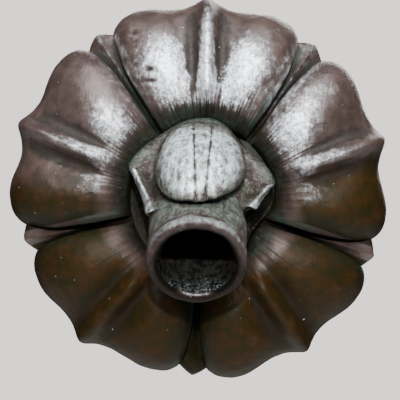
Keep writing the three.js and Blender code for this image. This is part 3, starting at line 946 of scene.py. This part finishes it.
def bore_colour(m, n):
    """Painted shadow above a level line, the shadow edge of the mouth's top lip, and silt with pale crumbs below
    it, painted lighter deeper in.
    """
    level = m.plus(n.z, m.times(n.x, SILT_TILT))
    silt = m.step(level, SILT_TOP, SILT_TOP - 0.8)
    front = m.step(level, SILT_TOP - 4, SILT_TOP - 16)
    crumbs = m.step(m.plus(m.noise(n.place, *CRUMBS), m.times(front, 0.08)), 0.6, 0.74)
    # Painted light: the silt is lighter deeper in the bore, near the shadow's edge.
    silted = m.colour(m.step(level, SILT_TOP - 9, SILT_TOP), SILT, SILT_PAINTED_LIGHTER)
    silted = m.colour(m.step(n.patches, 0.42, 0.58), BLACK, silted)
    damp = m.times(m.step(n.blotch, 0.5, 0.65), m.step(n.grain, 0.4, 0.7))
    silted = m.colour(m.times(damp, 0.3), silted, GREEN)
    silted = m.colour(m.times(crumbs, m.value(front, 0.04, 0.15)), silted, PALE)
    return m.colour(silt, SOOT_AND_SHADE, silted)


def bronze_material():
    m = Patina("bronze")
    n = patina_noises(m)
    hood, bore = m.mask("hood"), m.mask("bore")
    colour, low, crease_shade_and_grime, throat, green = patina_colour(m, n)
    # Pale wear and painted highlight over the patina.
    wear_and_highlight = wear_and_highlight_share(m, n, hood)
    colour = m.colour(wear_and_highlight, colour, wear_and_highlight_colour(m, n, hood))
    m.feed(m.shader.inputs["Base Color"], m.colour(bore, colour, bore_colour(m, n)))

    rough = m.value(low, m.value(m.step(n.grain, 0.3, 0.7), 0.27, 0.4), 0.45)
    rough = m.value(wear_and_highlight, rough, m.value(m.step(n.grain, 0.35, 0.65), 0.42, 0.55))
    rough = m.value(m.math("MAXIMUM", m.math("MAXIMUM", green, throat), crease_shade_and_grime), rough, 0.6)
    m.feed(m.shader.inputs["Roughness"], m.value(bore, rough, 0.7))
    dull = m.math("MAXIMUM", crease_shade_and_grime, bore)
    m.feed(m.shader.inputs["Metallic"], m.value(dull, m.value(wear_and_highlight, m.value(low, 0.3, 0.05), 0.5), 0.0))
    shine = m.value(dull, m.value(low, 0.4, 0.06), 0.08)
    m.feed(m.shader.inputs["Specular IOR Level"], m.value(m.mask("painted_shade_black"), shine, 0.01))

    relief = m.plus(m.times(n.streaks, 0.5), m.plus(n.grain, m.times(n.scratches, 0.6)))
    relief = m.plus(relief, m.times(n.patches, 1.2))
    relief = m.times(relief, m.value(m.mask("middle"), 1.0, 1.7))
    bump = m.node("ShaderNodeBump", Strength=0.5, Distance=0.00028, Height=relief)
    m.feed(m.shader.inputs["Normal"], bump.outputs["Normal"])
    return m.material


def floor_material():
    """It glows for the camera alone, so that it looks pale all over and doesn't light the spout."""
    m = Patina("floor")
    place = m.tree.nodes.new("ShaderNodeTexCoord").outputs["Object"]
    pale = m.colour(m.noise(place, 3.0), *FLOOR_SHADES)
    m.feed(m.shader.inputs["Base Color"], pale)
    m.feed(m.shader.inputs["Emission Color"], pale)
    seen = m.tree.nodes.new("ShaderNodeLightPath").outputs["Is Camera Ray"]
    m.feed(m.shader.inputs["Emission Strength"], m.times(seen, FLOOR_GLOW))
    m.feed(m.shader.inputs["Roughness"], m.value(m.noise(place, 8.0), 0.8, 0.9))
    return m.material


def light(name, place, target, size, power, colour):
    data = bpy.data.lights.new(name, "AREA")
    data.size = size
    data.energy = power
    data.color = colour
    obj = add_object(name, data)
    obj.location = place
    obj.rotation_euler = (Vector(target) - Vector(place)).to_track_quat("-Z", "Y").to_euler()


def studio_world():
    """Pale to the camera, but a much softer light on the spout."""
    world = bpy.data.worlds.new("studio")
    bpy.context.scene.world = world
    world.use_nodes = True
    tree = world.node_tree
    seen = tree.nodes.new("ShaderNodeLightPath").outputs["Is Camera Ray"]
    shade = tree.nodes.new("ShaderNodeMix")
    shade.data_type = "RGBA"
    tree.links.new(seen, shade.inputs["Factor"])
    shade.inputs["A"].default_value = WORLD_LIGHT
    shade.inputs["B"].default_value = WORLD_COLOUR
    tree.links.new(shade.outputs["Result"], tree.nodes["Background"].inputs["Color"])


def floor_plane():
    mesh = bpy.data.meshes.new("floor")
    edge, back, level = FLOOR_SIDE, FLOOR_BACK, FLOOR_LEVEL
    corners = [(-edge, -edge, level), (edge, -edge, level), (edge, back, level), (-edge, back, level)]
    mesh.from_pydata(corners, [], [(0, 1, 2, 3)])
    mesh.materials.append(floor_material())
    return add_object("floor", mesh)


def camera():
    """Straight at the front, rolled a little, with the rosette's middle where the photograph has it."""
    data = bpy.data.cameras.new("camera")
    data.sensor_width = CAMERA_SENSOR
    data.lens = CAMERA_LENS
    obj = add_object("camera", data)
    roll = math.radians(CAMERA_ROLL)
    across, up = CAMERA_OFFSET
    right = Vector((math.cos(roll), 0, -math.sin(roll)))
    above = Vector((math.sin(roll), 0, math.cos(roll)))
    obj.location = Vector((0, -CAMERA_DISTANCE, 0)) + across * right + up * above
    obj.rotation_euler = (math.pi / 2, -roll, 0)
    bpy.context.scene.camera = obj


spout = casting()
weather(spout.data)
spout.data.set_sharp_from_angle(angle=SHARP_ANGLE)
paint(spout.data)
spout.data.materials.clear()
spout.data.materials.append(bronze_material())
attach(spout, "root")
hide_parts(NODE)

floor = floor_plane()
for row in LIGHTS:
    light(*row)
studio_world()
camera()
